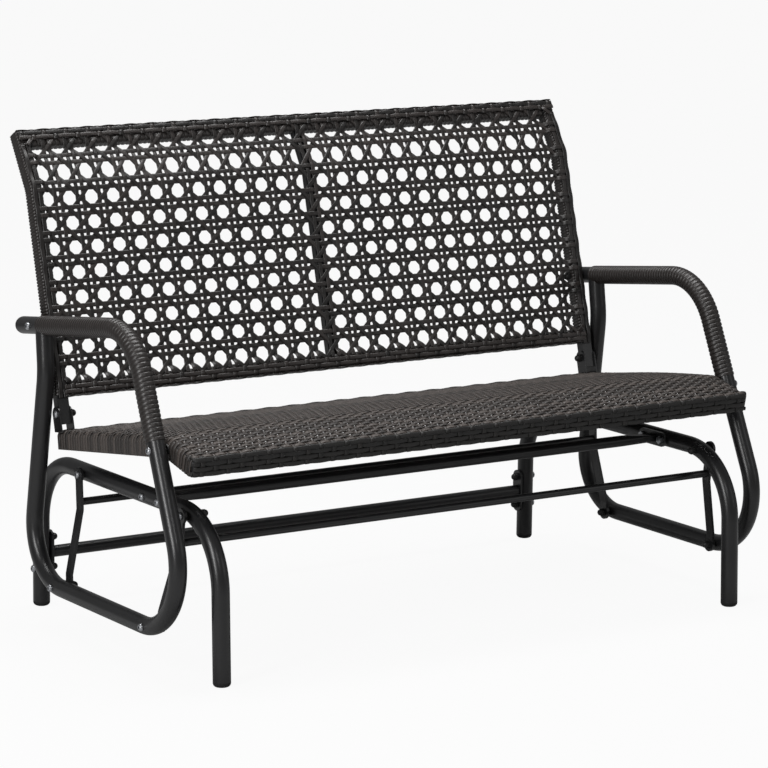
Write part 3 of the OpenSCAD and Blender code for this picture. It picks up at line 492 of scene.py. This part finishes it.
def seat_warps():
    """Strands from the rear of the seat to its front, under two wefts and over the third."""
    s = np.arange(3, FRONT_S - 3, WEFT / 4)
    for name, k in (("left_seat_warps", np.arange(-67, 0)), ("right_seat_warps", np.arange(0, 68))):
        wave = -WARP_SWING * twill(k[:, None] - (s[None] - FIRST_WEFT) / WEFT)
        centre = seat_point(k[:, None] * WARP, s[None], wave - WEAVE_DEPTH)
        weave(name, centre, ACROSS, oval(6, 6.0, 1.3, 0.8), rattan)


def seat_side_edges():
    """A flat strand along the lower edge of each side, where the turned-down strands end."""
    s = np.arange(2, FRONT_S, 4)
    edge = [seat_point(side * (SEAT_HALF - 1.6), s, -SEAT_T + 3.0) for side in (-1, 1)]
    # The side strands take the strip with painted shade, darker than the deck's
    weave("seat_side_edges", np.stack(edge), ACROSS, oval(8, 2.6, 6.4, 0.6), rattan_painted_shade)


def plait(name, place, rows, spacing, q, x, pitch, high, look):
    """Level strands at the places rows round an edge, woven with uprights every pitch.

    A level strand is high·cos(pi·(x/pitch + its row)) out of the surface, an upright the reverse.
    The uprights go from q[0] to q[1], and the levels from x[0] to x[1]."""
    x_level = np.arange(x[0], x[1] + 1, pitch / 10)
    row = np.arange(len(rows))[:, None]
    lift = high * np.cos(math.pi * (x_level[None] / pitch + row))
    centre = place(rows[:, None], x_level[None], lift)
    across = place(rows[:, None] + 1, x_level[None], lift) - centre
    weave(name + "_levels", centre, unit(across), oval(8, spacing * 0.95, 2.0, 0.6), look)
    k = np.arange(math.ceil(x[0] / pitch), math.floor(x[1] / pitch) + 1)[:, None]
    q = np.arange(q[0], q[1], spacing / 8)
    lift = -high * np.cos(math.pi * (k + (q[None] - rows[0]) / spacing))
    centre = place(q[None], k * pitch, lift)
    weave(name + "_uprights", centre, ACROSS, oval(6, 9.5, 1.6, 0.6), look)


def seat_end(which):
    """Surface round the front (1) or rear (-1) edge of the seat.

    q is the length from start mm inside the edge, over an arc of 7 mm and down, and x turns round
    the side of the seat with an arc of 9 mm."""
    start = 16

    def place(q, x, lift):
        out, drop, lean = over_edge(q, start, 7)
        wide, back, turn = over_edge(x, SEAT_HALF - 1.2, 9)
        lift = lift - 1.4
        reach = out - start - back + lift * np.sin(lean) * np.cos(turn)
        edge = FRONT_S if which > 0 else 0
        return seat_point(wide + lift * np.sin(lean) * np.sin(turn), edge + which * reach,
            lift * np.cos(lean) - drop)
    return place


seat_wefts()
seat_warps()
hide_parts("seat_weave")
seat_side_edges()
# The front and rear edges take the strip with painted shade, darker than the deck's
for which, name in ((1, "seat_front"), (-1, "seat_rear")):
    plait(name, seat_end(which), np.array([14.4, 23.2, 32.0, 40.8]), spacing=8.8, q=(6, 45),
        x=(-571, 571), pitch=3 * WARP, high=1.0, look=rattan_painted_shade)


# Wound armrests, posts and rails

def wound(pitch, height, place, sides):
    """Height of a flat strip wound on a bar: height·(1 - |2f - 1|^4), f the share of a turn."""
    f = (place[:, None] / pitch - np.arange(sides) / sides) % 1
    return height * (1 - np.abs(2 * f - 1) ** 4)


def arm_windings():
    """Strip of 7.6 mm wound round each armrest, over its front bend and down the upright."""
    lean, slope = math.radians(24), math.radians(7.25)
    forward = np.array([-math.cos(slope), math.sin(slope)])
    # In (y, z): the armrest's rear end, its front corner, and the winding's end above the seat bolt
    rear = np.array([255.0, 515.0])
    corner = rear + forward * 392.6
    low = np.array([-216.0, 378.0]) + np.array([math.sin(lean), math.cos(lean)]) * 14
    bare, bend_r, step = 72, 110, 0.8
    line = rounded([rear + forward * bare, corner, low], [0, bend_r, 0], step)
    sides = 28
    radius = TUBE_R + 0.6 + wound(7.6, 1.6, np.arange(len(line)) * step, sides)
    turn = np.arange(sides) * 2 * math.pi / sides
    shape = (radius * np.cos(turn), radius * np.sin(turn))
    for side, name, node in ((1, "right_arm_winding", "right_arm_wrap"),
            (-1, "left_arm_winding", "left_arm_wrap")):
        made = sleeve(name, on_loop(side, line), ACROSS, shape, cane)
        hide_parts(node)


def box_ring(sides, half_w, half_t, corner):
    """Ring of points on a rounded box, with its outward directions, by equal steps of length."""
    q = np.linspace(0, 1, 4000, endpoint=False) * 2 * math.pi
    cx, cy = half_w - corner, half_t - corner
    x = np.clip(np.cos(q) * 99, -1, 1) * cx + corner * np.cos(q)
    y = np.clip(np.sin(q) * 99, -1, 1) * cy + corner * np.sin(q)
    step = np.r_[0, np.cumsum(np.hypot(np.diff(x), np.diff(y)))]
    want = np.arange(sides) / sides * step[-1]
    return np.interp(want, step, x), np.interp(want, step, y), np.interp(want, step, q)


def post_windings():
    """Strip of 5.6 mm wound round each post of the back, over its bend."""
    sides = 36
    s = np.arange(49.6, 514, 0.52)
    rx, ry, q = box_ring(sides, 10.2, 10.9, 3.5)
    lift = 0.3 + wound(5.6, 1.9, s, sides)
    shape = (rx + lift * np.cos(q), ry + lift * np.sin(q))
    for side, name, node in ((1, "right_post_winding", "right_post_wrap"),
            (-1, "left_post_winding", "left_post_wrap")):
        centre = back_point(side * POST_X, s, -10.6)
        made = sleeve(name, centre, ACROSS, shape, cane)
        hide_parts(node)


def post_strands():
    """Two flat strands up the front of each post, the inner one lower where the cane's level pairs
    cross it and the outer one higher: they swing by a cosine of the way between the pairs."""
    s = np.arange(44, 478, 2.0)
    swing = np.cos(2 * math.pi * (s - FOLD) / PITCH)
    out = np.stack([3.5 - 0.4 * swing, 4.0 + 1.1 * swing])
    x = POST_X + np.array([[-4.9], [4.6]])
    for side, name in ((1, "right_post_strands"), (-1, "left_post_strands")):
        centre = back_point(side * x, spread_out(s)[None], out)
        weave(name, centre, ACROSS, oval(8, 8.4, 1.4, 0.6), cane)


def rail_windings():
    """Strip of 8.8 mm wound round the top and bottom rails of the back."""
    sides = 40
    x = np.arange(-536.5, 537, 0.9)
    for name, node, s, half in (("top_rail_winding", "top_rail_wrap", 499, 12.8),
            ("bottom_rail_winding", "bottom_rail_wrap", 61, 9.3)):
        rx, ry, q = box_ring(sides, half, 9.3, 3.5)
        lift = 0.4 + wound(8.8, 1.7, x + 600, sides)
        centre = back_point(x, s, -FRAME_DEPTH)
        upward = back_point(0, s + 1, -FRAME_DEPTH) - back_point(0, s, -FRAME_DEPTH)
        shape = (rx + lift * np.cos(q), ry + lift * np.sin(q))
        made = sleeve(name, centre, upward, shape, cane)
        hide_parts(node)


def rail_edge(edge, way):
    """Surface of a rail whose outer edge is at the length edge up the back, outward being way:
    q runs from the front, over an arc of 5 mm, across the edge and down behind."""
    def place(q, x, lift):
        out, drop, lean = over_edge(27 - q, 14.2, 5)
        up = edge + way * (lift * np.cos(lean) - drop)
        return back_point(x, up, out - FRAME_DEPTH + lift * np.sin(lean))
    return place


arm_windings()
post_windings()
post_strands()
rail_windings()
for name, edge, way, reach in (("top_band", 514.6, 1, 561), ("bottom_band", 47.4, -1, 548)):
    plait(name, rail_edge(edge, way), 0.2 + 8.1 * np.arange(6), spacing=8.1, q=(-5, 46),
        x=(-reach, reach), pitch=PITCH / 2, high=0.8, look=cane)


# Floor, light and camera

def stand(name, data, right, up, back, place):
    """Stands a lamp or camera at a place in metres, with its three axes given."""
    held = bpy.data.objects.new(name, data)
    turned = np.column_stack([right, up, back, place])
    held.matrix_world = Matrix(np.vstack([turned, [0, 0, 0, 1]]).tolist())
    scene.collection.objects.link(held)
    return held


def studio():
    """Pale floor, white sky for the camera, and soft boxes on the left, above and two ahead."""
    mesh = bpy.data.meshes.new("floor")
    half = 40.0
    mesh.from_pydata([(-half, -half, 0), (half, -half, 0), (half, half, 0), (-half, half, 0)], [],
        [(0, 1, 2, 3)])
    floor = bpy.data.objects.new("floor", mesh)
    scene.collection.objects.link(floor)
    look = bpy.data.materials.new("matt_white_floor")
    look.use_nodes = True
    tree = look.node_tree
    tree.nodes.clear()
    matt = add(tree, "ShaderNodeBsdfDiffuse", {"Color": hexed("#bcbcbc")})
    lit = add(tree, "ShaderNodeEmission", {"Color": hexed("#ffffff"), "Strength": 1.0})
    path = add(tree, "ShaderNodeLightPath")
    # The camera sees the floor nearly white, with what is left of its shadow
    seen = add(tree, "ShaderNodeMath", {0: path.outputs["Is Camera Ray"], 1: 0.94},
        operation="MULTIPLY")
    mixed = add(tree, "ShaderNodeMixShader", {0: seen.outputs["Value"], 1: matt.outputs["BSDF"],
        2: lit.outputs["Emission"]})
    add(tree, "ShaderNodeOutputMaterial", {"Surface": mixed.outputs["Shader"]})
    mesh.materials.append(look)
    world = bpy.data.worlds.new("studio")
    scene.world = world
    world.use_nodes = True
    tree = world.node_tree
    tree.nodes.clear()
    path = add(tree, "ShaderNodeLightPath")
    white = add(tree, "ShaderNodeMath", {0: path.outputs["Is Camera Ray"],
        1: path.outputs["Is Transmission Ray"]}, operation="MAXIMUM")
    power = add(tree, "ShaderNodeMapRange", {"Value": white.outputs["Value"], "To Min": 0.22,
        "To Max": 1.0})
    sky = add(tree, "ShaderNodeBackground", {"Color": hexed("#ffffff"),
        "Strength": power.outputs["Result"]})
    add(tree, "ShaderNodeOutputWorld", {"Surface": sky.outputs["Background"]})
    # Place, width and height in metres, and power in watts
    boxes = (("key", (-3.0, -1.3, 1.7), 0.5, 2.2, 58), ("fill", (2.4, -2.8, 1.5), 1.2, 1.6, 5),
        ("top", (0.1, 0.3, 3.2), 2.4, 1.0, 80), ("front", (-1.2, -3.1, 2.4), 0.16, 0.7, 9))
    aim = np.array([0, 0, 0.45])
    for name, place, wide, high, watts in boxes:
        lamp = bpy.data.lights.new(name, "AREA")
        lamp.shape = "RECTANGLE"
        lamp.size = wide
        lamp.size_y = high
        lamp.energy = watts
        back = unit(np.array(place) - aim)
        right = unit(np.cross([0, 0, 1.0], back))
        stand(name, lamp, right, np.cross(back, right), back, place)


def camera():
    """Camera of the photograph, solved from it: turned 32.88 degrees, 10.42 down, rolled 0.47."""
    az, el, roll = (math.radians(a) for a in (-32.8793, 10.4167, 0.4701))
    back = np.array([math.sin(az) * math.cos(el), -math.cos(az) * math.cos(el), math.sin(el)])
    right = np.array([math.cos(az), math.sin(az), 0])
    up = np.cross(back, right)
    turned = math.cos(roll) * right + math.sin(roll) * up
    upright = -math.sin(roll) * right + math.cos(roll) * up
    lens = bpy.data.cameras.new("camera")
    lens.sensor_width = 36
    # Focal length in pixels, over the width of the picture in pixels
    lens.lens = 3465.447 / 768 * lens.sensor_width
    lens.clip_end = 120
    scene.camera = stand("camera", lens, turned, upright, back, [-3.24412, -5.00547, 1.49496])


studio()
camera()
scene.view_settings.view_transform = "Standard"
